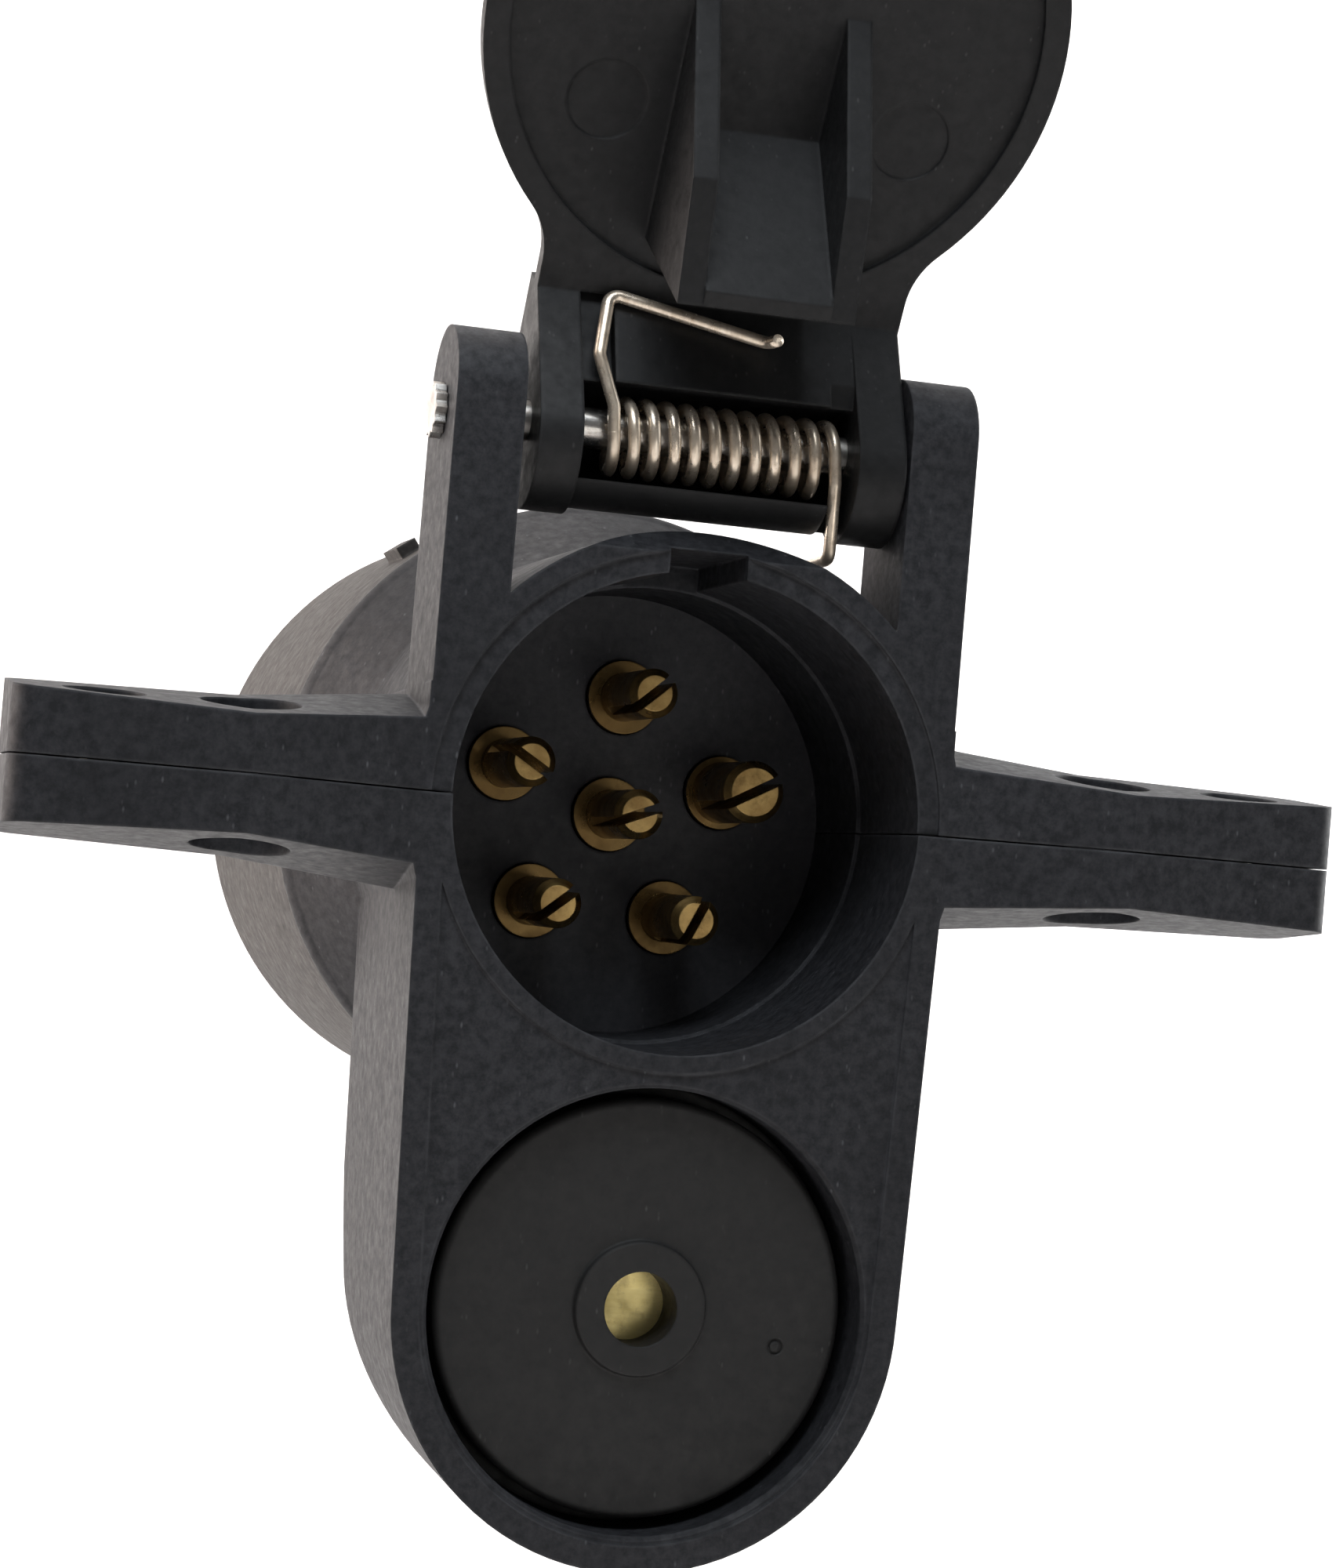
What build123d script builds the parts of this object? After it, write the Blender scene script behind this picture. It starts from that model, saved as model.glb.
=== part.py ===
from build123d import *
from math import cos, radians, sin
import os

os.makedirs("parts", exist_ok=True)

# A seven-blade to six-pin trailer wiring adapter with a reversing sounder below the socket.
# Frame: origin at the centre of the socket's mouth, +Y back towards the vehicle, +Z up, mm.

# Driving sizes
mouth_r = 17.9            # bore that takes the trailer's six-pin plug
plug_stop_y = 14.4        # the bore steps in here, level with the pin tips
inner_bore_r = 17.6
floor_y = 25.2            # socket floor, the front face of the pin carrier
ring_r = 21.1             # outside of the socket tube
pod_z = -37.0             # height of the sounder's centre
pod_r = 19.3
side_x = 20.3             # half width of the housing at the seam
pod_depth = 26.7
shoulder_y = 34.0         # rear end of the two shells
plug_r = 25.5
plug_end_y = 72.0
seam_gap = 0.06           # each shell stops this far from the seam plane
axle_y = 4.9              # hinge axis, along X
axle_z = 28.2
axle_r = 1.5
lid_tilt = radians(30)    # how far the open lid leans forward
lid_x = 0.5               # the lid sits to the right in its end play
pin_ring_r = 9.5
pin_turn = -2.5           # degrees that the pin carrier is turned about Y
wing_hole_x = 32.9
wing_hole_y = 1.7
wing_hole_r = 3.7
screw_x = 43.6
screw_y = 0.3
# Wing sections: x, front y and half height there, back y and half height there
wing_root = (19.4, 0.3, 5.4, 9.8, 7.4)
wing_bend = (33.3, -4.8, 4.25, 7.8, 5.95)
wing_tip = (50.3, -3.5, 4.8, 6.8, 5.6)

recess_r = 16.6
case_r = 15.7
case_front_y = 2.7
case_back_y = 9.1


def front(y):
    """Plane facing the viewer at depth y: local x is X, local y is Z, and -amount goes deeper."""
    return Plane.XZ.offset(-y)


def side(x):
    """Plane across the object at x: local x is Y and local y is Z."""
    return Plane.YZ.offset(x)


def ring_point(radius, degrees):
    """X and Z of a point on a circle about the socket axis."""
    return radius * cos(radians(degrees)), radius * sin(radians(degrees))


# ---------------------------------------------------------------- housing blank
with BuildPart() as housing:
    # Lower pod, drafted towards the back
    with BuildSketch(front(0)) as pod_outline:
        with BuildLine():
            Line((-side_x, 0), (-pod_r, pod_z))
            ThreePointArc((-pod_r, pod_z), (0, pod_z - pod_r), (pod_r, pod_z))
            Line((pod_r, pod_z), (side_x, 0))
            Line((side_x, 0), (-side_x, 0))
        make_face()
    extrude(amount=-pod_depth, taper=1.6)
    # The pod's back rounds off towards its bottom
    with BuildSketch(side(0)):
        with BuildLine():
            Line((pod_depth + 1, -24), (pod_depth + 1, pod_z - pod_r - 1))
            Line((pod_depth + 1, pod_z - pod_r - 1), (3, pod_z - pod_r - 1))
            ThreePointArc((3, pod_z - pod_r - 1), (19.6, -44.5), (pod_depth + 1, -24))
        make_face()
    extrude(amount=pod_r + 3, both=True, mode=Mode.SUBTRACT)
    # Socket tube and the shoulder that widens to the plug
    with BuildSketch(Plane.XY):
        with BuildLine():
            Polyline((0, 0), (ring_r, 0), (ring_r, 25.5), (24.9, 32.6))
            ThreePointArc((24.9, 32.6), (25.35, 33.3), (plug_r, shoulder_y))
            Polyline((plug_r, shoulder_y), (0, shoulder_y), (0, 0))
        make_face()
    revolve(axis=Axis.Y)
    # Hinge ears
    for ear_x in (-20.1, 14.9):
        with BuildSketch(side(ear_x)) as ear:
            with Locations((4.95, 17.3)):
                Rectangle(9.9, 34.6)
            fillet(ear.vertices().group_by(Axis.Y)[-1], 4.9)
        extrude(amount=5.2)
    # Cheeks between the seam and the foot of each ear
    with BuildSketch(front(0)):
        with Locations((-17.8, 4), (17.8, 4)):
            Rectangle(4.8, 8)
    extrude(amount=-22, taper=1.2)
    # Wings: three ruled sections each, waisted at the bend
    for way in (-1, 1):
        for stations in ((wing_root, wing_bend), (wing_bend, wing_tip)):
            for x, y_front, half_front, y_back, half_back in stations:
                with BuildSketch(side(way * x)):
                    Polygon(
                        (y_front, -half_front),
                        (y_front, half_front),
                        (y_back, half_back),
                        (y_back, -half_back),
                        align=None,
                    )
            loft(ruled=True)
    wing_tips = housing.edges().filter_by(Axis.Z).filter_by(lambda e: abs(e.center().X) > 50)
    fillet(wing_tips, 1.8)

    # Socket bore, the pin carrier's seat, the wiring space and the seat for the plug's flange
    for y, radius, depth in (
        (0, mouth_r, plug_stop_y),
        (plug_stop_y, inner_bore_r, floor_y - plug_stop_y),
        (floor_y - 0.05, 19.2, 4.1),
        (29.2, 17.0, 1.4),
        (30.5, 20.6, 2.1),
        (32.5, 19.6, 2.0),
    ):
        with BuildSketch(front(y)):
            Circle(radius)
        extrude(amount=-depth, mode=Mode.SUBTRACT)
    # Wing holes: plain ones right through, and counterbored ones for the screws
    with Locations(Location((0, 0, 10))):
        with Locations((-wing_hole_x, wing_hole_y), (wing_hole_x, wing_hole_y)):
            Hole(wing_hole_r, depth=20)
    with BuildSketch(Plane.XY.offset(2.2)):
        with Locations((-screw_x, screw_y), (screw_x, screw_y)):
            Circle(3.0)
    extrude(amount=8, mode=Mode.SUBTRACT)
    with BuildSketch(Plane.XY.offset(-4.0)):
        with Locations((-screw_x, screw_y), (screw_x, screw_y)):
            Circle(1.42)
    extrude(amount=7, mode=Mode.SUBTRACT)

# ---------------------------------------------------------------- upper shell
with BuildPart() as upper_shell:
    add(housing.part)
    split(bisect_by=Plane.XY.offset(seam_gap), keep=Keep.TOP)
    # Stepped lip round the mouth
    with BuildSketch(front(0)):
        Circle(19.5)
    extrude(amount=-0.35, mode=Mode.SUBTRACT)
    # Keyway at the top of the mouth
    with BuildSketch(front(0)):
        with Locations((0, 18.3)):
            Rectangle(6.0, 2.4)
    extrude(amount=-plug_stop_y, mode=Mode.SUBTRACT)
    # Slope on the tube's front edge where the closed lid's hinge block comes down
    with BuildSketch(side(-14.8)):
        Polygon((-1, 19.1), (0, 19.1), (3.9, 21.7), (-1, 21.7), align=None)
    extrude(amount=29.7, mode=Mode.SUBTRACT)
    # Holes for the hinge pin
    with BuildSketch(side(-25)):
        with Locations((axle_y, axle_z)):
            Circle(axle_r + 0.02)
    extrude(amount=50, mode=Mode.SUBTRACT)
upper_shell.part.label = "upper_shell"
export_step(upper_shell.part, "parts/upper_shell.step")

# ---------------------------------------------------------------- lower shell
with BuildPart() as lower_shell:
    add(housing.part)
    split(bisect_by=Plane.XY.offset(-seam_gap), keep=Keep.BOTTOM)
    # Face inside the border line
    with BuildSketch(front(0)):
        with BuildLine():
            Line((-side_x + 2.1, -5.4), (-pod_r + 2.1, pod_z))
            ThreePointArc(
                (-pod_r + 2.1, pod_z), (0, pod_z - pod_r + 2.1), (pod_r - 2.1, pod_z)
            )
            Line((pod_r - 2.1, pod_z), (side_x - 2.1, -5.4))
            Line((side_x - 2.1, -5.4), (-side_x + 2.1, -5.4))
        make_face()
        Circle(19.3, mode=Mode.SUBTRACT)
    extrude(amount=-0.25, mode=Mode.SUBTRACT)
    # Sounder recess, its seat and the wiring space behind it
    for y, z, radius, depth in ((0, pod_z, recess_r, case_back_y), (case_back_y - 0.1, -33.5, 11, 7)):
        with BuildSketch(front(y)):
            with Locations((0, z)):
                Circle(radius)
        extrude(amount=-depth, mode=Mode.SUBTRACT)
    with BuildSketch(front(0.2)):
        with Locations((0, pod_z)):
            Circle(recess_r + 0.35)
    extrude(amount=-0.35, taper=45, mode=Mode.SUBTRACT)
    # Way for the two sounder leads up to the main wiring space
    with BuildSketch(side(-2.6)):
        with BuildLine():
            Polyline(
                (13, -31),
                (17.5, -31),
                (24, -23.5),
                (26, -20.3),
                (30.6, -20.3),
                (30.6, -16),
                (25.3, -16),
                (25.3, -18.2),
                (22.5, -19.3),
                (21, -20.3),
                (13, -27),
                (13, -31),
            )
        make_face()
    extrude(amount=5.2, mode=Mode.SUBTRACT)
lower_shell.part.label = "lower_shell"
export_step(lower_shell.part, "parts/lower_shell.step")

# ---------------------------------------------------------------- pin carrier and its six pins
pin_places = {
    "center": (0, 0),
    "top": ring_point(pin_ring_r, 90 + pin_turn),
    "upper_left": ring_point(pin_ring_r, 162 + pin_turn),
    "lower_left": ring_point(pin_ring_r, 234 + pin_turn),
    "lower_right": ring_point(pin_ring_r, 306 + pin_turn),
    "ground": ring_point(pin_ring_r, 18 + pin_turn),
}
slot_angles = {
    "center": 22,
    "top": 42,
    "upper_left": -31,
    "lower_left": 40,
    "lower_right": 65,
    "ground": 29,
}
pin_r = 1.95
ground_pin_r = 2.45
collar_r = 2.95
collar_back_y = 27.0
pin_tail_y = 31.4

with BuildPart() as socket_core:
    with BuildSketch(front(floor_y)):
        Circle(19.1)
        # Notch that lets the sounder leads pass
        with Locations((0, -18.7)):
            Rectangle(5.2, 2.1, mode=Mode.SUBTRACT)
    extrude(amount=-3.9)
    # Each collar sits in a counterbore
    for place in pin_places.values():
        with BuildSketch(front(floor_y)):
            with Locations(place):
                Circle(collar_r + 0.1)
        extrude(amount=-(collar_back_y - floor_y), mode=Mode.SUBTRACT)
        with BuildSketch(front(floor_y)):
            with Locations(place):
                Circle(1.5)
        extrude(amount=-6, mode=Mode.SUBTRACT)
socket_core.part.label = "socket_core"
export_step(socket_core.part, "parts/socket_core.step")

for pin_name, place in pin_places.items():
    shaft_r = ground_pin_r if pin_name == "ground" else pin_r
    with BuildPart() as pin:
        with BuildSketch(front(14.7)):
            with Locations(place):
                Circle(shaft_r)
        extrude(amount=-(collar_back_y - 14.7))
        tip = pin.edges().sort_by(Axis.Y)[0]
        chamfer(tip, 0.55)
        with BuildSketch(front(24.5)):
            with Locations(place):
                Circle(collar_r)
        extrude(amount=-(collar_back_y - 24.5))
        with BuildSketch(front(collar_back_y)):
            with Locations(place):
                Circle(1.47)
        extrude(amount=-(pin_tail_y - collar_back_y))
        # The slot that lets the pin spring
        with BuildSketch(front(14.7)):
            with Locations(Location((place[0], place[1]), slot_angles[pin_name])):
                Rectangle(2 * shaft_r + 1, 0.75)
        extrude(amount=-8.5, mode=Mode.SUBTRACT)
    pin.part.label = "pin_" + pin_name
    export_step(pin.part, "parts/pin_" + pin_name + ".step")

# ---------------------------------------------------------------- seven-blade plug
shroud_r = 22.6
barrel_front_y = 46.4     # the straight part of the barrel begins behind the lug
core_front_y = 40.0
core_back_y = 50.0
blade_ring_r = 13.0
blade_angles = (0, 60, 120, 180, 240, 300)

with BuildPart() as plug_shell:
    with BuildSketch(Plane.XY) as wall:
        with BuildLine():
            Polyline(
                (14.0, 30.6),
                (20.45, 30.6),
                (20.45, 32.4),
                (19.4, 32.4),
                (19.4, shoulder_y + 0.1),
                (plug_r - 0.1, shoulder_y + 0.1),
                (plug_r + 0.1, barrel_front_y),
                (plug_r + 0.1, plug_end_y - 0.8),
                (plug_r - 0.7, plug_end_y),
                (shroud_r, plug_end_y),
                (shroud_r, core_front_y - 0.1),
                (14.0, core_front_y - 0.1),
                (14.0, 30.6),
            )
        make_face()
    revolve(axis=Axis.Y)
    # Lug on top for the catch of the vehicle's socket lid, and two small index ribs
    for angle, width in ((90, 7.0), (126, 1.8), (54, 1.8)):
        x, z = ring_point(plug_r, angle)
        with BuildSketch(front(40)):
            with Locations(Location((x, z), angle)):
                Rectangle(2.0, width)
        extrude(amount=-6)
    # Keyway inside the shroud
    with BuildSketch(front(core_back_y)):
        with Locations((0, -shroud_r)):
            Rectangle(5, 2.6)
    extrude(amount=-(plug_end_y - core_back_y + 1), mode=Mode.SUBTRACT)
    # Notch for the sounder leads
    with BuildSketch(front(pin_tail_y - 1)):
        with Locations((0, -16)):
            Rectangle(5.2, 7)
    extrude(amount=-5, mode=Mode.SUBTRACT)
plug_shell.part.label = "plug_shell"
export_step(plug_shell.part, "parts/plug_shell.step")

with BuildPart() as plug_core:
    with BuildSketch(front(core_front_y)):
        Circle(shroud_r - 0.05)
    extrude(amount=-(core_back_y - core_front_y))
    with BuildSketch(front(core_back_y)):
        Circle(4.6)
    extrude(amount=-5)
    for angle in blade_angles:
        x, z = ring_point(blade_ring_r, angle)
        with BuildSketch(front(core_front_y)):
            with Locations(Location((x, z), angle + 90)):
                Rectangle(6.6, 1.3)
        extrude(amount=-(core_back_y - core_front_y), mode=Mode.SUBTRACT)
    with BuildSketch(front(core_front_y)):
        Circle(2.5)
    extrude(amount=-16, mode=Mode.SUBTRACT)
plug_core.part.label = "plug_core"
export_step(plug_core.part, "parts/plug_core.step")

for number, angle in enumerate(blade_angles, 1):
    x, z = ring_point(blade_ring_r, angle)
    with BuildPart() as blade:
        with BuildSketch(front(core_front_y - 0.6)):
            with Locations(Location((x, z), angle + 90)):
                Rectangle(6.4, 1.1)
        extrude(amount=-(66 - core_front_y + 0.6))
        chamfer(blade.edges().group_by(Axis.Y)[-1], 0.35)
    blade.part.label = "blade_" + str(number)
    export_step(blade.part, "parts/blade_" + str(number) + ".step")

with BuildPart() as blade_center:
    with BuildSketch(front(core_front_y - 0.6)):
        Circle(2.4)
    extrude(amount=-(66 - core_front_y + 0.6))
    chamfer(blade_center.edges().sort_by(Axis.Y)[-1], 0.6)
blade_center.part.label = "blade_center"
export_step(blade_center.part, "parts/blade_center.step")

# ---------------------------------------------------------------- jumper wires
wire_r = 0.75
wire_ends = {
    "center": (0, 0),
    "top": ring_point(blade_ring_r, 120),
    "upper_left": ring_point(blade_ring_r, 180),
    "lower_left": ring_point(blade_ring_r, 240),
    "lower_right": ring_point(blade_ring_r, 300),
    "ground": ring_point(blade_ring_r, 0),
}
for pin_name, (end_x, end_z) in wire_ends.items():
    start_x, start_z = pin_places[pin_name]
    start_y = pin_tail_y + 0.05
    end_y = core_front_y - 0.65
    with BuildPart() as wire:
        with BuildLine():
            Spline(
                (start_x, start_y, start_z),
                (end_x, end_y, end_z),
                tangents=((0, 1, 0), (0, 1, 0)),
            )
        with BuildSketch(front(start_y)):
            with Locations((start_x, start_z)):
                Circle(wire_r)
        sweep()
    wire.part.label = "wire_" + pin_name
    export_step(wire.part, "parts/wire_" + pin_name + ".step")

# ---------------------------------------------------------------- sounder
disc_y = 6.5              # front of the brass diaphragm
board_back_y = 8.7

with BuildPart() as sounder_case:
    with BuildSketch(Plane.XY):
        with BuildLine():
            Polyline(
                (2.8, case_front_y - 0.5),
                (4.95, case_front_y - 0.5),
                (5.15, case_front_y),
                (case_r - 0.6, case_front_y),
            )
            ThreePointArc(
                (case_r - 0.6, case_front_y),
                (case_r - 0.18, case_front_y + 0.18),
                (case_r, case_front_y + 0.6),
            )
            Polyline(
                (case_r, case_front_y + 0.6),
                (case_r, 7.0),
                (recess_r - 0.05, 7.0),
                (recess_r - 0.05, case_back_y - 0.05),
                (14.4, case_back_y - 0.05),
                (14.4, disc_y - 0.05),
                (12.9, disc_y - 0.05),
                (12.9, 3.9),
                (3.9, 3.9),
                (3.6, disc_y - 0.15),
                (2.8, disc_y - 0.15),
                (2.8, case_front_y - 0.5),
            )
        make_face()
    revolve(axis=Axis.Y)
    # Gate mark on the face
    with BuildSketch(front(case_front_y)):
        with Locations((10.8, -2.3)):
            Circle(0.6)
            Circle(0.4, mode=Mode.SUBTRACT)
    extrude(amount=-0.15, mode=Mode.SUBTRACT)
sounder_case.part = sounder_case.part.moved(Location((0, 0, pod_z)))
sounder_case.part.label = "sounder_case"
export_step(sounder_case.part, "parts/sounder_case.step")


def sounder_disc(name, radius, y, thickness, bore=0.0):
    """A round piece of the sounder, written out under its node name."""
    with BuildPart() as disc:
        with BuildSketch(front(y)):
            with Locations((0, pod_z)):
                Circle(radius)
                if bore:
                    Circle(bore, mode=Mode.SUBTRACT)
        extrude(amount=-thickness)
    disc.part.label = name
    export_step(disc.part, "parts/" + name + ".step")


sounder_disc("diaphragm", 13.5, disc_y, 0.25)
sounder_disc("piezo_disc", 9.5, disc_y + 0.3, 0.3)
sounder_disc("diaphragm_clamp_ring", 14.3, disc_y + 0.3, 0.7, 12.4)
sounder_disc("sounder_board", 14.3, board_back_y - 1.1, 1.1)

with BuildPart() as driver_coil:
    with BuildSketch(front(board_back_y + 0.05)):
        with Locations((-5.5, -34)):
            Circle(3.2)
    extrude(amount=-4.2)
    fillet(driver_coil.edges().group_by(Axis.Y)[-1], 0.4)
driver_coil.part.label = "driver_coil"
export_step(driver_coil.part, "parts/driver_coil.step")

with BuildPart() as driver_transistor:
    with BuildSketch(front(board_back_y + 0.05)):
        with Locations((5, -35)):
            Circle(2.3)
        with Locations((5, -33)):
            Rectangle(6, 2.2, mode=Mode.SUBTRACT)
    extrude(amount=-4.0)
driver_transistor.part.label = "driver_transistor"
export_step(driver_transistor.part, "parts/driver_transistor.step")

lead_r = 0.6
for lead_name, lead_x, lead_angle in (("live", 1.3, 291), ("return", -1.3, 249)):
    end_x, end_z = ring_point(blade_ring_r, lead_angle)
    with BuildPart() as lead:
        with BuildLine() as lead_route:
            FilletPolyline(
                (lead_x, board_back_y + 0.05, -29),
                (lead_x, 15.6, -28.6),
                (lead_x, 23.3, -20.9),
                (lead_x, 25.9, -18.9),
                (lead_x, 30.2, -18.4),
                (1.2 * lead_x, 33.6, -13.2),
                (end_x, 37.0, end_z),
                (end_x, core_front_y - 0.65, end_z),
                radius=1.0,
            )
        with BuildSketch(Plane(origin=lead_route.line @ 0, z_dir=lead_route.line % 0)):
            Circle(lead_r)
        sweep()
    lead.part.label = "sounder_lead_" + lead_name
    export_step(lead.part, "parts/sounder_lead_" + lead_name + ".step")

# ---------------------------------------------------------------- fasteners and hinge
with BuildPart() as wing_screws:
    with BuildSketch(Plane.XY.offset(2.25)):
        with Locations((-screw_x, screw_y), (screw_x, screw_y)):
            Circle(2.75)
    extrude(amount=1.9)
    fillet(wing_screws.edges().group_by(Axis.Z)[-1], 0.8)
    with BuildSketch(Plane.XY.offset(-3.9)):
        with Locations((-screw_x, screw_y), (screw_x, screw_y)):
            Circle(1.4)
    extrude(amount=6.2)
    # Cross recess
    with BuildSketch(Plane.XY.offset(3.2)):
        with Locations((-screw_x, screw_y), (screw_x, screw_y)):
            Rectangle(3.0, 0.7)
            Rectangle(0.7, 3.0)
    extrude(amount=2, mode=Mode.SUBTRACT)
wing_screws.part.label = "wing_screws"
export_step(wing_screws.part, "parts/wing_screws.step")

with BuildPart() as hinge_pin:
    with BuildSketch(side(-20.9)):
        with Locations((axle_y, axle_z)):
            Circle(axle_r)
    extrude(amount=41.2)
    # Knurled head outside the left ear
    with BuildSketch(side(-21.0)):
        with Locations((axle_y, axle_z)):
            Circle(1.75)
            with PolarLocations(1.75, 12):
                Rectangle(0.5, 0.5, rotation=45)
    extrude(amount=0.85)
hinge_pin.part.label = "hinge_pin"
export_step(hinge_pin.part, "parts/hinge_pin.step")

# The lid is drawn in its own plane: local x is X, local y runs from the hinge to the lid's tip
# and the normal points out of the lid's inner face.
lid_normal = Vector(0, -cos(lid_tilt), -sin(lid_tilt))
lid_up = Vector(0, -sin(lid_tilt), cos(lid_tilt))
lid_face_h = -5.3
lid_back_h = -8.2
lid_center_u = 29.9
lid_r = 21.85
crease_u = 8.6            # where the lid's flat face meets the hinge block
spring_z = 27.75          # the coil hangs on the pin
spring_wire_r = 0.48
coil_r = 2.6
coil_left = -7.6
coil_right = 9.6
coil_turns = 11
knuckle_left = -13.7
knuckle_right = 14.6
pocket_left = -10.4
pocket_right = 10.9


def lid_plane(height):
    """Plane parallel to the lid at this height above the hinge axis."""
    origin = Vector(0, axle_y, axle_z) + lid_normal * height
    return Plane(origin=origin, x_dir=(1, 0, 0), z_dir=lid_normal)


def lid_side(x):
    """Plane across the lid: local x runs towards the tip and local y is the height."""
    return Plane(origin=(x, axle_y, axle_z), x_dir=lid_up, z_dir=(1, 0, 0))


with BuildPart() as lid:
    # Disc and neck
    with BuildSketch(lid_plane(lid_back_h)) as lid_outline:
        with Locations((lid_x, lid_center_u)):
            Circle(lid_r)
        with Locations((lid_x, 12)):
            Rectangle(28.4, 14)
        fillet(lid_outline.vertices().filter_by_position(Axis.Y, 12, 15), 6.0)
    extrude(amount=lid_face_h - lid_back_h)
    back_face = lid.faces().sort_by(Axis((0, 0, 0), lid_normal))[0]
    fillet(back_face.edges(), 1.6)
    # Hinge block: two knuckles with a slimmer middle
    for left, right, lobe_r in (
        (knuckle_left, pocket_left, 5.1),
        (pocket_left, pocket_right, 4.6),
        (pocket_right, knuckle_right, 5.1),
    ):
        with BuildSketch(lid_side(left)):
            with BuildLine():
                Line((2, lid_back_h), (crease_u, lid_back_h))
                Line((crease_u, lid_back_h), (crease_u, lid_face_h))
            with Locations((-1.4, 0.58)):
                Circle(lobe_r)
            make_hull()
        extrude(amount=right - left)
    # Shallow ledge inside the rim and two ejector marks
    with BuildSketch(lid_plane(lid_face_h - 0.6)):
        with Locations((lid_x, lid_center_u)):
            Circle(19.9)
        with Locations((lid_x, crease_u)):
            Rectangle(30, 3.6, mode=Mode.SUBTRACT)
    extrude(amount=1, mode=Mode.SUBTRACT)
    with BuildSketch(lid_plane(lid_face_h - 0.75)):
        with Locations((lid_x - 11.65, 23.3), (lid_x + 11.65, 23.3)):
            Circle(3.0)
    extrude(amount=1, mode=Mode.SUBTRACT)
    # Catch for the six-pin plug: two ribs and the ramp between them
    for rib_left, rib_right, profile in (
        (-6.7, -4.8, ((31.9, -6.0), (21.7, 4), (13.2, 7), (13.2, -6.0))),
        (-4.8, 4.8, ((22.3, -6.0), (14.4, 7), (13.2, 7), (13.2, -6.0))),
        (4.8, 6.7, ((31.9, -6.0), (21.7, 4), (13.2, 7), (13.2, -6.0))),
    ):
        with BuildSketch(lid_side(lid_x + rib_left)):
            Polygon(*profile, align=None)
        extrude(amount=rib_right - rib_left)
    # Pocket for the spring, open towards the viewer
    with BuildSketch(side(pocket_left)):
        with Locations((axle_y, spring_z)):
            Circle(3.75)
        with Locations((axle_y - 6, spring_z)):
            Rectangle(12, 7.5)
    extrude(amount=pocket_right - pocket_left, mode=Mode.SUBTRACT)
    # Channel for the spring's upper leg
    with BuildSketch(lid_side(pocket_left)):
        Polygon(
            (1, 9), (crease_u, lid_face_h), (crease_u, lid_face_h - 1), (5.5, -3.2), (1, 3.6),
            align=None,
        )
    extrude(amount=2.6, mode=Mode.SUBTRACT)
    # Slot for the spring's lower leg and the notch above it
    with BuildSketch(front(-8)):
        with Locations((10.0, spring_z - 6)):
            Rectangle(1.8, 12)
    extrude(amount=-15, mode=Mode.SUBTRACT)
    with BuildSketch(front(-8)):
        with Locations((9.95, spring_z + 5)):
            Rectangle(1.9, 3)
        with Locations((9.95, spring_z + 6.5)):
            Circle(0.95)
    extrude(amount=-11, mode=Mode.SUBTRACT)
    # Bore for the hinge pin
    with BuildSketch(side(-20)):
        with Locations((axle_y, axle_z)):
            Circle(axle_r + 0.05)
    extrude(amount=40, mode=Mode.SUBTRACT)
lid.part.label = "lid"
export_step(lid.part, "parts/lid.step")

# ---------------------------------------------------------------- torsion spring
coil_plane = Plane(origin=(coil_left, axle_y, spring_z), x_dir=(0, -1, 0), z_dir=(1, 0, 0))
coil_length = coil_right - coil_left
coil = coil_plane.from_local_coords(Helix(coil_length / coil_turns, coil_length, coil_r))


def on_lid(x, u, height):
    """World position of a point given in the lid's coordinates."""
    return Vector(x, axle_y, axle_z) + lid_up * u + lid_normal * height


# Upper leg: up the channel, then across the lid's slanted face
upper_leg = (
    on_lid(4.3, 8.2, -1.3),
    on_lid(3.9, 7.4, -2.5),
    on_lid(-8.3, 8.95, -4.75),
    on_lid(-9.1, 5.6, -0.8),
    coil @ 0 - (coil % 0) * 2,
    coil @ 0,
)
# Lower leg: down the slot, then back over the socket tube
lower_leg = (coil @ 1, coil @ 1 + (coil % 1) * 2, (10.1, 3.4, 20.2), (10.1, 9.6, 20.0))

with BuildPart() as torsion_spring:
    with BuildSketch(Plane(origin=coil @ 0, z_dir=coil % 0)):
        Circle(spring_wire_r)
    sweep(path=coil, is_frenet=True)
    for leg_points in (upper_leg, lower_leg):
        with BuildLine() as leg:
            FilletPolyline(*leg_points, radius=0.9)
        with BuildSketch(Plane(origin=leg.line @ 0, z_dir=leg.line % 0)):
            Circle(spring_wire_r)
        sweep(path=leg.line)
torsion_spring.part.label = "torsion_spring"
export_step(torsion_spring.part, "parts/torsion_spring.step")
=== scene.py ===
import math

import bmesh
import bpy
from mathutils import Matrix, Vector


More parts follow.
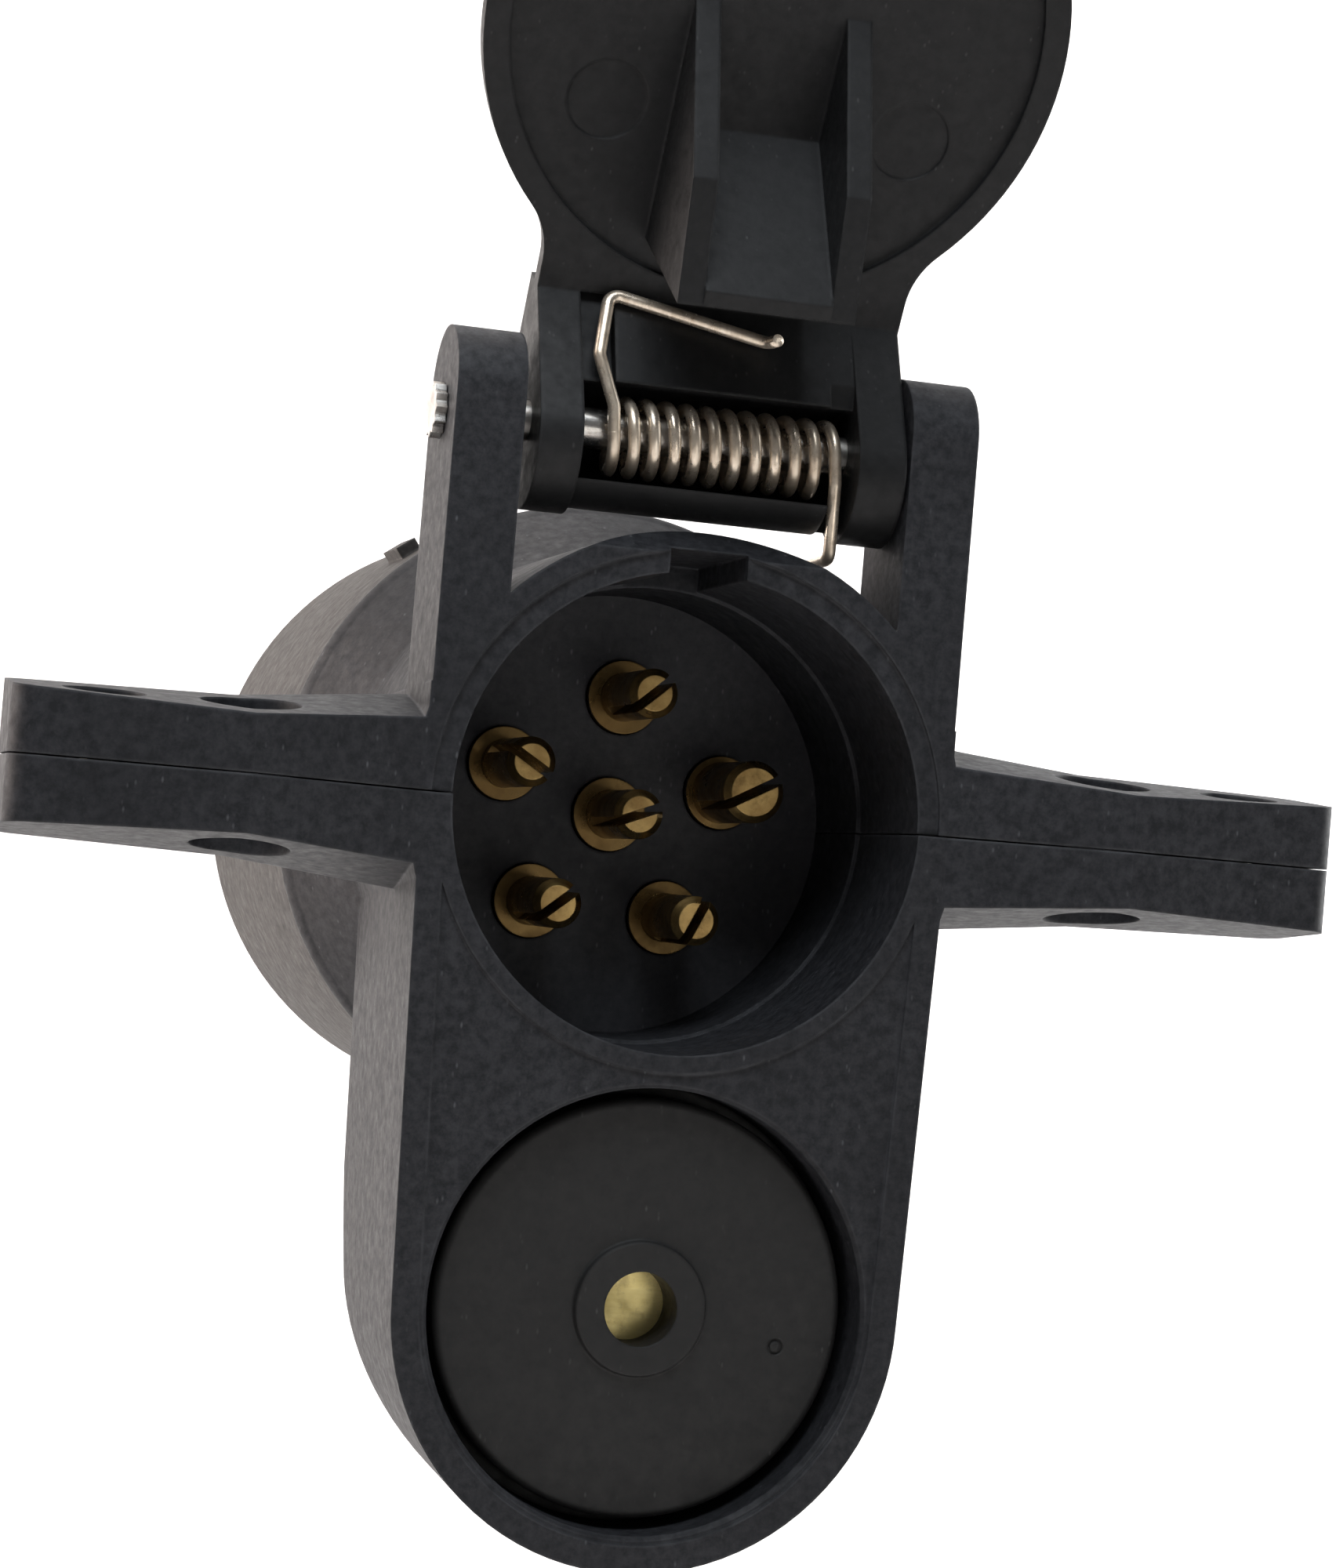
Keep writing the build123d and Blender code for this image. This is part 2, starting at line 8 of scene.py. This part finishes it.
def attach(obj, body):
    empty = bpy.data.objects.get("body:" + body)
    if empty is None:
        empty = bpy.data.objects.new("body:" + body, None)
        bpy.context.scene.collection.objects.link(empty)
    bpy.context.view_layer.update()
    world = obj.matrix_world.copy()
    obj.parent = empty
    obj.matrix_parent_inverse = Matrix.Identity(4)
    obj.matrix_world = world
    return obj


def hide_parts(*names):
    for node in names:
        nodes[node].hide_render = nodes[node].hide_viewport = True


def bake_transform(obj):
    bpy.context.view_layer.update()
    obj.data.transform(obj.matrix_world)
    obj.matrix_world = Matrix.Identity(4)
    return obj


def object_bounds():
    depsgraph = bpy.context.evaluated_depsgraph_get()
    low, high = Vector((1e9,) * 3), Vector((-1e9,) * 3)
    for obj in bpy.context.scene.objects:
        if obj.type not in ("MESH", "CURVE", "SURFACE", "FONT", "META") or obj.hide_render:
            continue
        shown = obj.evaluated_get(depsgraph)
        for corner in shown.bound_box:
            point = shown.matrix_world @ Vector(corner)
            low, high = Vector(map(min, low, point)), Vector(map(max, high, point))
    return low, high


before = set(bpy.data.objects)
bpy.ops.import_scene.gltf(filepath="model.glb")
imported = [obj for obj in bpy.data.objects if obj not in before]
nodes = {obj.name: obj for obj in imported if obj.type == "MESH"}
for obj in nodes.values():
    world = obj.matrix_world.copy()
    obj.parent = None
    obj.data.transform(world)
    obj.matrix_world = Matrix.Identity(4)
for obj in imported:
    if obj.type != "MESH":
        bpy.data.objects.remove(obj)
cad_box = [list(corner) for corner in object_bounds()]

MM = 0.001
WORN_EDGE = 0.35 * MM      # how far wear spreads from a plastic edge
PLASTIC_EDGE = 0.35 * MM   # radius that shading gives to plastic edges
METAL_EDGE = 0.12 * MM


# ---------------------------------------------------------------- shading
def shade_smooth(obj, degrees=28):
    """Smooth shading on curved stretches, crisp edges elsewhere."""
    mesh = obj.data
    mesh.polygons.foreach_set("use_smooth", [True] * len(mesh.polygons))
    mesh.set_sharp_from_angle(angle=math.radians(degrees))


for node in nodes.values():
    shade_smooth(node)


# ---------------------------------------------------------------- node helpers
class Material:
    """A node material: every call adds one node and returns its output socket."""

    def __init__(self, name):
        self.material = bpy.data.materials.new(name)
        self.material.use_nodes = True
        self.tree = self.material.node_tree
        self.shader = self.tree.nodes["Principled BSDF"]
        self.position = self.node("ShaderNodeNewGeometry").outputs["Position"]

    def node(self, kind, **settings):
        made = self.tree.nodes.new(kind)
        for key, value in settings.items():
            setattr(made, key, value)
        return made

    def put(self, socket, value):
        if isinstance(value, bpy.types.NodeSocket):
            self.tree.links.new(value, socket)
        else:
            socket.default_value = value

    def noise(self, scale, detail=3.0, roughness=0.6, vector=None):
        made = self.node("ShaderNodeTexNoise")
        self.put(made.inputs["Vector"], vector or self.position)
        made.inputs["Scale"].default_value = scale
        made.inputs["Detail"].default_value = detail
        made.inputs["Roughness"].default_value = roughness
        return made.outputs["Fac"]

    def cells(self, scale, vector=None):
        made = self.node("ShaderNodeTexVoronoi")
        self.put(made.inputs["Vector"], vector or self.position)
        made.inputs["Scale"].default_value = scale
        return made.outputs["Distance"]

    def stretched(self, x, y, z):
        made = self.node("ShaderNodeMapping")
        self.put(made.inputs["Vector"], self.position)
        made.inputs["Scale"].default_value = (x, y, z)
        return made.outputs["Vector"]

    def ramp(self, factor, low, high, start=0.0, end=1.0):
        """Remaps factor from start..end to low..high, clamped."""
        made = self.node("ShaderNodeMapRange")
        self.put(made.inputs["Value"], factor)
        made.inputs["From Min"].default_value = start
        made.inputs["From Max"].default_value = end
        made.inputs["To Min"].default_value = low
        made.inputs["To Max"].default_value = high
        return made.outputs["Result"]

    def mix(self, factor, a, b):
        made = self.node("ShaderNodeMix", data_type="RGBA")
        self.put(made.inputs["Factor"], factor)
        self.put(made.inputs["A"], a)
        self.put(made.inputs["B"], b)
        return made.outputs["Result"]

    def math(self, operation, a, b):
        made = self.node("ShaderNodeMath", operation=operation)
        self.put(made.inputs[0], a)
        self.put(made.inputs[1], b)
        return made.outputs["Value"]

    def edge_wear(self, radius):
        """1 on worn convex edges, 0 elsewhere."""
        bevel = self.node("ShaderNodeBevel", samples=4)
        bevel.inputs["Radius"].default_value = radius
        normal = self.node("ShaderNodeNewGeometry").outputs["Normal"]
        dot = self.node("ShaderNodeVectorMath", operation="DOT_PRODUCT")
        self.put(dot.inputs[0], bevel.outputs["Normal"])
        self.put(dot.inputs[1], normal)
        return self.ramp(dot.outputs["Value"], 1.0, 0.0, 0.82, 0.985)

    def bump(self, height, distance, strength=1.0, normal=None):
        made = self.node("ShaderNodeBump")
        made.inputs["Strength"].default_value = strength
        made.inputs["Distance"].default_value = distance
        self.put(made.inputs["Height"], height)
        if normal:
            self.put(made.inputs["Normal"], normal)
        self.put(self.shader.inputs["Normal"], made.outputs["Normal"])
        return made.outputs["Normal"]

    def finish(self, color, roughness, metallic=0.0, **constants):
        self.put(self.shader.inputs["Base Color"], color)
        self.put(self.shader.inputs["Roughness"], roughness)
        self.shader.inputs["Metallic"].default_value = metallic
        for name, value in constants.items():
            self.shader.inputs[name.replace("_", " ")].default_value = value
        return self.material


def rgb(r, g, b):
    return (r, g, b, 1.0)


def moulded_plastic(name, base, pale, grain=1.0, gloss=0.5, wear=0.4, specular=0.22):
    """Glass-filled moulded plastic: mottled tone, pale flecks, fine grain and worn edges."""
    m = Material(name)
    mottle = m.noise(1150, 4, 0.7)
    flow = m.noise(38, 3, 0.55, m.stretched(1.0, 0.55, 1.6))
    tone = m.mix(m.ramp(mottle, 0.0, 1.0, 0.36, 0.66), base, pale)
    deep = tuple(0.72 * c for c in base[:3]) + (1.0,)
    tone = m.mix(m.ramp(flow, 0.55, 0.0, 0.3, 0.58), tone, deep)
    # Pale flecks of glass fibre, a millimetre or less across
    flecks = m.cells(1500, m.stretched(1.0, 1.0, 0.45))
    rare = m.noise(420, 2, 0.5)
    fleck = m.math(
        "MULTIPLY", m.ramp(flecks, 0.8, 0.0, 0.05, 0.2), m.ramp(rare, 0.0, 1.0, 0.52, 0.66)
    )
    bright = tuple(min(1.0, 2.6 * c + 0.03) for c in pale[:3]) + (1.0,)
    tone = m.mix(m.math("MULTIPLY", fleck, 0.75), tone, bright)
    # Scuffs from handling
    scuffs = m.noise(70, 6, 0.75, m.stretched(1.6, 1.2, 1.4))
    scuff = m.ramp(scuffs, 0.0, 0.25, 0.7, 0.8)
    tone = m.mix(scuff, tone, bright)
    if wear:
        edge = m.math(
            "MULTIPLY", m.edge_wear(WORN_EDGE), m.ramp(m.noise(260, 4), 0.15, 1.0, 0.38, 0.62)
        )
        tone = m.mix(m.math("MULTIPLY", edge, wear), tone, bright)
    rough = m.ramp(m.noise(900, 3, 0.7), gloss - 0.07, gloss + 0.13, 0.3, 0.7)
    rounded = m.node("ShaderNodeBevel", samples=4)
    rounded.inputs["Radius"].default_value = PLASTIC_EDGE
    fine = m.noise(3200, 2, 0.6)
    coarse = m.noise(900, 3, 0.55)
    height = m.math("ADD", m.math("MULTIPLY", fine, 0.45), coarse)
    m.bump(height, 0.03 * MM * grain, 0.6, rounded.outputs["Normal"])
    return m.finish(tone, rough, 0.0, Specular_IOR_Level=specular)


def metal(
    name, base, dark, roughness, streaks,
    rust=0.0, brown=rgb(0.2, 0.12, 0.06), metallic=1.0, painted_root_shade=None,
):
    """Drawn or turned metal with fine streaks and dull patches.

    The last argument is the pair of depths along Y between which the metal turns brown: painted
    shade towards the pin roots.
    """
    m = Material(name)
    lines = m.noise(500, 5, 0.7, m.stretched(*streaks))
    patch = m.noise(330, 4, 0.6)
    tone = m.mix(m.ramp(lines, 0.0, 0.75, 0.3, 0.7), base, dark)
    tone = m.mix(m.ramp(patch, 0.0, 0.6, 0.5, 0.72), tone, dark)
    if rust:
        tone = m.mix(m.ramp(m.noise(850, 4, 0.7), 0.0, rust, 0.52, 0.68), tone, brown)
    # Painted shade: the metal turns brown deeper along Y, towards the pin roots.
    if painted_root_shade:
        split = m.node("ShaderNodeSeparateXYZ")
        m.put(split.inputs["Vector"], m.position)
        tone = m.mix(m.ramp(split.outputs["Y"], 0.0, 0.8, *painted_root_shade), tone, brown)
    rough = m.ramp(patch, roughness - 0.06, roughness + 0.16, 0.35, 0.7)
    rounded = m.node("ShaderNodeBevel", samples=4)
    rounded.inputs["Radius"].default_value = METAL_EDGE
    m.bump(lines, 0.02 * MM, 0.5, rounded.outputs["Normal"])
    return m.finish(tone, rough, metallic)


def coated(name, base, gloss=0.3, grain=0.02):
    """Coloured insulation, ceramic or varnish with slight unevenness."""
    m = Material(name)
    dark = tuple(0.65 * c for c in base[:3]) + (1.0,)
    tone = m.mix(m.ramp(m.noise(350, 4), 0.0, 0.8, 0.35, 0.7), base, dark)
    m.bump(m.noise(900, 3), grain * MM, 0.6)
    return m.finish(tone, m.ramp(m.noise(600), gloss - 0.08, gloss + 0.12, 0.3, 0.7), 0.0)


housing = moulded_plastic(
    "housing_plastic", rgb(0.0132, 0.014, 0.0165), rgb(0.0345, 0.0355, 0.04),
    grain=1.0, gloss=0.55, wear=0.5,
)
plug_skin = moulded_plastic(
    "plug_plastic", rgb(0.03, 0.028, 0.0265), rgb(0.062, 0.056, 0.053),
    grain=1.2, gloss=0.6, wear=0.45,
)
lid_skin = moulded_plastic(
    "lid_plastic", rgb(0.0085, 0.0088, 0.0094), rgb(0.0134, 0.0136, 0.0143),
    grain=0.7, gloss=0.48, wear=0.3, specular=0.25,
)
core_skin = moulded_plastic(
    "core_plastic", rgb(0.05, 0.051, 0.058), rgb(0.072, 0.072, 0.078),
    grain=0.8, gloss=0.5, wear=0.0,
)
case_skin = moulded_plastic(
    "sounder_plastic", rgb(0.0128, 0.0126, 0.0126), rgb(0.0158, 0.0156, 0.0156),
    grain=0.55, gloss=0.52, wear=0.15, specular=0.35,
)
# The pin brass gets painted shade, browner towards the pin roots.
brass = metal(
    "pin_brass", rgb(0.55, 0.38, 0.15), rgb(0.25, 0.15, 0.055), 0.3, (1.0, 9.0, 1.0),
    rust=0.5, brown=rgb(0.12, 0.075, 0.03), painted_root_shade=(0.016, 0.024),
)
blade_brass = metal(
    "blade_brass", rgb(0.7, 0.5, 0.22), rgb(0.42, 0.27, 0.1), 0.28, (8.0, 1.0, 8.0)
)
disc_brass = metal(
    "diaphragm_brass", rgb(0.95, 0.8, 0.36), rgb(0.8, 0.64, 0.24), 0.42, (1.0, 1.0, 7.0),
    rust=0.25, metallic=0.6,
)
screw_steel = metal(
    "screw_steel", rgb(0.6, 0.6, 0.58), rgb(0.36, 0.36, 0.34), 0.34, (3.0, 3.0, 1.0), rust=0.3
)
pin_steel = metal(
    "hinge_steel", rgb(0.68, 0.66, 0.63), rgb(0.4, 0.38, 0.35), 0.24, (1.0, 6.0, 6.0), rust=0.35
)
spring_steel = metal(
    "spring_steel", rgb(0.95, 0.84, 0.7), rgb(0.6, 0.49, 0.37), 0.27, (4.0, 1.0, 1.0),
    rust=0.4, metallic=0.8,
)

looks = {
    "upper_shell": housing,
    "lower_shell": housing,
    "lid": lid_skin,
    "plug_shell": plug_skin,
    "socket_core": core_skin,
    "plug_core": core_skin,
    "sounder_case": case_skin,
    "diaphragm": disc_brass,
    "piezo_disc": coated("piezo_ceramic", rgb(0.7, 0.68, 0.6), 0.4),
    "diaphragm_clamp_ring": coated("clamp_plastic", rgb(0.07, 0.07, 0.07), 0.45),
    "sounder_board": coated("board", rgb(0.03, 0.16, 0.06), 0.3),
    "driver_coil": coated("coil", rgb(0.03, 0.03, 0.03), 0.35),
    "driver_transistor": coated("transistor", rgb(0.02, 0.02, 0.02), 0.3),
    "wing_screws": screw_steel,
    "hinge_pin": pin_steel,
    "torsion_spring": spring_steel,
    "wire_center": coated("wire_purple", rgb(0.25, 0.05, 0.3)),
    "wire_top": coated("wire_brown", rgb(0.2, 0.08, 0.03)),
    "wire_upper_left": coated("wire_yellow", rgb(0.7, 0.5, 0.03)),
    "wire_lower_left": coated("wire_green", rgb(0.03, 0.28, 0.07)),
    "wire_lower_right": coated("wire_blue", rgb(0.03, 0.07, 0.4)),
    "wire_ground": coated("wire_white", rgb(0.75, 0.75, 0.72)),
    "sounder_lead_live": coated("lead_red", rgb(0.5, 0.03, 0.02)),
    "sounder_lead_return": coated("lead_black", rgb(0.02, 0.02, 0.02)),
}
for name, node in nodes.items():
    look = looks.get(name) or (blade_brass if name.startswith("blade_") else brass)
    for index in range(max(1, len(node.data.materials))):
        if index < len(node.data.materials):
            node.data.materials[index] = look
        else:
            node.data.materials.append(look)


# ---------------------------------------------------------------- spring
leg_root = Vector((-7.6, 2.3, 27.75)) * MM   # where the leg on the lid meets the coil
wire_r = 0.48 * MM

wire = bmesh.new()
wire.from_mesh(nodes["torsion_spring"].data)
bmesh.ops.remove_doubles(wire, verts=wire.verts, dist=1e-6)
joint_ring = [
    edge for edge in wire.edges
    if all(abs((vert.co - leg_root).length - wire_r) < 0.01 * MM for vert in edge.verts)
]
bmesh.ops.split_edges(wire, edges=joint_ring)
# The leg is all that still joins up with the spring's highest point
reached = {max(wire.verts, key=lambda vert: vert.co.z)}
front = list(reached)
while front:
    vert = front.pop()
    for edge in vert.link_edges:
        other = edge.other_vert(vert)
        if other not in reached:
            reached.add(other)
            front.append(other)
wire.verts.index_update()
on_leg = {vert.index for vert in reached}


def spring_piece(name, keep):
    """The part of the wire whose vertices keep() picks, closed where it was cut."""
    part = wire.copy()
    part.verts.ensure_lookup_table()
    dropped = [vert for vert in part.verts if not keep(vert.index)]
    bmesh.ops.delete(part, geom=dropped, context="VERTS")
    bmesh.ops.holes_fill(part, edges=[edge for edge in part.edges if edge.is_boundary], sides=0)
    mesh = bpy.data.meshes.new(name)
    part.to_mesh(mesh)
    part.free()
    mesh.materials.append(spring_steel)
    piece = bpy.data.objects.new(name, mesh)
    bpy.context.scene.collection.objects.link(piece)
    shade_smooth(piece)
    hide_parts("torsion_spring")
    return piece


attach(spring_piece("spring_leg", lambda index: index in on_leg), "lid")
spring_coil = spring_piece("spring_coil", lambda index: index not in on_leg)
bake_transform(spring_coil)
wire.free()


# ---------------------------------------------------------------- floor and light
floor_z = cad_box[0][2] - 0.12
floor_material = Material("floor_paper")
paper = floor_material.mix(floor_material.noise(9, 3), rgb(0.86, 0.86, 0.86), rgb(0.9, 0.9, 0.9))
floor_material.finish(paper, 0.85)

floor_mesh = bpy.data.meshes.new("floor")
sweep = bmesh.new()
profile = [(-1.6, 0.0), (0.55, 0.0)]
for step in range(1, 13):
    angle = math.radians(90 * step / 12)
    profile.append((0.55 + 0.25 * math.sin(angle), 0.25 - 0.25 * math.cos(angle)))
profile.append((0.8, 1.3))
rows = [
    [sweep.verts.new((x, y, floor_z + z)) for y, z in profile] for x in (-1.8, 1.8)
]
for left, right in zip(zip(rows[0], rows[0][1:]), zip(rows[1], rows[1][1:])):
    sweep.faces.new((left[0], right[0], right[1], left[1]))
sweep.to_mesh(floor_mesh)
sweep.free()
floor = bpy.data.objects.new("floor", floor_mesh)
floor_mesh.polygons.foreach_set("use_smooth", [True] * len(floor_mesh.polygons))
floor_mesh.materials.append(floor_material.material)
bpy.context.scene.collection.objects.link(floor)


def softbox(name, place, target, size, watts, color=(1.0, 1.0, 1.0)):
    """A rectangular area light at place that faces target."""
    lamp = bpy.data.lights.new(name, "AREA")
    lamp.shape = "RECTANGLE"
    lamp.size, lamp.size_y = size
    lamp.energy = watts
    lamp.color = color
    obj = bpy.data.objects.new(name, lamp)
    place, target = Vector(place), Vector(target)
    turn = (target - place).to_track_quat("-Z", "Y").to_matrix().to_4x4()
    obj.matrix_world = Matrix.Translation(place) @ turn
    bpy.context.scene.collection.objects.link(obj)


middle = (0.0, 0.02, 0.0)
softbox("left_bank", (-0.6, 0.22, 0.12), middle, (0.45, 0.6), 1.7, (1.0, 0.8, 0.7))
softbox("top_bank", (-0.12, 0.2, 0.65), middle, (0.6, 0.5), 3.6, (1.0, 0.95, 0.92))
softbox("front_bank", (-0.05, -0.13, 0.23), (0.0, 0.0, 0.02), (0.16, 0.12), 0.52, (0.9, 0.95, 1.0))
softbox(
    "metal_glint", (0.14, -0.45, -0.1), (0.0, 0.0, -0.02), (0.16, 0.16), 0.14, (1.0, 0.97, 0.92)
)
softbox("right_bank", (0.7, 0.0, 0.2), middle, (0.4, 0.5), 1.2)
softbox("backdrop_left", (-0.75, 0.35, 0.25), (0.15, 0.8, 0.0), (0.5, 0.7), 7.5, (1.0, 0.91, 0.86))
softbox("backdrop_right", (0.75, 0.35, 0.25), (-0.15, 0.8, 0.0), (0.5, 0.7), 8.0)

world = bpy.data.worlds.new("studio")
world.use_nodes = True
world.node_tree.nodes["Background"].inputs["Color"].default_value = rgb(1.0, 1.0, 1.0)
world.node_tree.nodes["Background"].inputs["Strength"].default_value = 0.12
bpy.context.scene.world = world
bpy.context.scene.view_settings.view_transform = "Standard"


# ---------------------------------------------------------------- camera
azimuth, elevation, roll = math.radians(14.59), math.radians(-0.7), math.radians(4.77)
forward = Vector((
    math.sin(azimuth) * math.cos(elevation),
    math.cos(azimuth) * math.cos(elevation),
    -math.sin(elevation),
))
right = Vector((math.cos(azimuth), -math.sin(azimuth), 0.0))
up = right.cross(forward)
rolled_right = math.cos(roll) * right + math.sin(roll) * up
rolled_up = -math.sin(roll) * right + math.cos(roll) * up
camera_data = bpy.data.cameras.new("camera")
camera_data.sensor_width = 36.0
camera_data.lens = 83.92
camera_data.shift_x = 0.0152
camera_data.shift_y = 0.0453
camera_data.clip_start = 0.01
camera = bpy.data.objects.new("camera", camera_data)
rotation = Matrix((rolled_right, rolled_up, -forward)).transposed().to_4x4()
camera.matrix_world = Matrix.Translation(Vector((-71.08, -260.69, -6.61)) * MM) @ rotation
bpy.context.scene.collection.objects.link(camera)
bpy.context.scene.camera = camera
